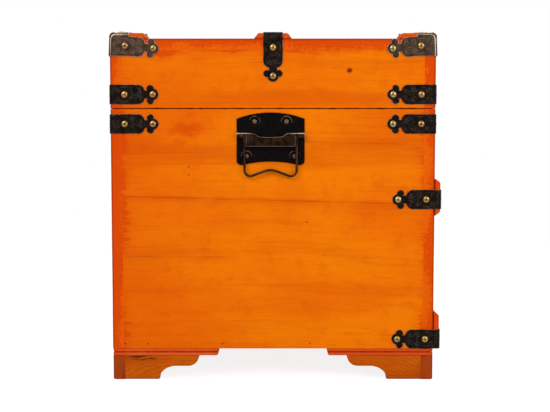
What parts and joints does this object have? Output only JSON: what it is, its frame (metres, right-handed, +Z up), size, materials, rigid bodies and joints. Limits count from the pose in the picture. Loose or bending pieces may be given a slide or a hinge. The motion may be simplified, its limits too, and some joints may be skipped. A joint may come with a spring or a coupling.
{
  "type": "sea chest",
  "caption": "Wooden storage chest on bracket feet with a hinged battened lid, iron corner straps, metal corner caps, a swinging handle at each end and a hasp at the front",
  "frame": {"origin": "on the floor, in the middle of the object's footprint", "axes": "+Z up, +X along the chest's length, front with the hasp at -Y, hinges at +Y"},
  "size_m": [0.8192, 0.4754, 0.4872],
  "materials": {
    "pine": "orange stained and varnished pine, red at the end grain",
    "black_iron": "black lacquered sheet iron, satin",
    "aged_bronze": "dark antique bronze plating, worn bright on the edges",
    "aged_brass": "antique brass, polished on the domes"
  },
  "bodies": {
    "chest": {"back_panel": "pine", "body_corner_straps": "black_iron", "body_nails": "aged_brass", "body_screws": "aged_bronze", "bottom_board": "pine", "end_panel_left": "pine", "end_panel_right": "pine", "foot_bracket_back_left": "pine", "foot_bracket_back_right": "pine", "foot_bracket_front_left": "pine", "foot_bracket_front_right": "pine", "foot_glue_blocks": "pine", "foot_plate_back_left": "pine", "foot_plate_back_right": "pine", "foot_plate_front_left": "pine", "foot_plate_front_right": "pine", "front_batten_lower": "pine", "front_batten_upper": "pine", "front_panel": "pine", "handle_plate_left": "black_iron", "handle_plate_right": "black_iron", "handle_saddle_left": "aged_bronze", "handle_saddle_right": "aged_bronze", "hinge_body_leaf_left": "black_iron", "hinge_body_leaf_right": "black_iron", "hinge_pin_left": "black_iron", "hinge_pin_right": "black_iron", "lower_batten_straps": "black_iron", "staple": "black_iron", "staple_plate": "black_iron", "upper_batten_straps": "black_iron"},
    "lid": {"hasp_leaf": "black_iron", "hasp_pin": "black_iron", "hinge_lid_leaf_left": "black_iron", "hinge_lid_leaf_right": "black_iron", "lid_back_panel": "pine", "lid_batten_back": "pine", "lid_batten_front": "pine", "lid_batten_middle": "pine", "lid_corner_caps": "aged_bronze", "lid_corner_straps": "black_iron", "lid_end_panel_left": "pine", "lid_end_panel_right": "pine", "lid_front_panel": "pine", "lid_middle_straps": "black_iron", "lid_nails": "aged_brass", "lid_screws": "aged_bronze", "lid_top_board": "pine"},
    "hasp": {"hasp_flap": "black_iron"},
    "bail_left": {"bail_left": "aged_bronze"},
    "bail_right": {"bail_right": "aged_bronze"}
  },
  "joints": [
    {"name": "lid_hinge", "type": "hinge", "parent": "chest", "child": "lid", "pos_m": [0, 0.23258, 0.37925], "axis": [-1, 0, 0], "range_deg": [0, 100]},
    {"name": "hasp_hinge", "type": "hinge", "parent": "lid", "child": "hasp", "pos_m": [0, -0.22562, 0.39325], "axis": [1, 0, 0], "range_deg": [0, 180]},
    {"name": "bail_left_swing", "type": "hinge", "parent": "chest", "child": "bail_left", "pos_m": [-0.4054, 0.00708, 0.342], "axis": [0, 1, 0], "range_deg": [0, 90]},
    {"name": "bail_right_swing", "type": "hinge", "parent": "chest", "child": "bail_right", "pos_m": [0.4054, 0.00708, 0.342], "axis": [0, -1, 0], "range_deg": [0, 90]}
  ]
}
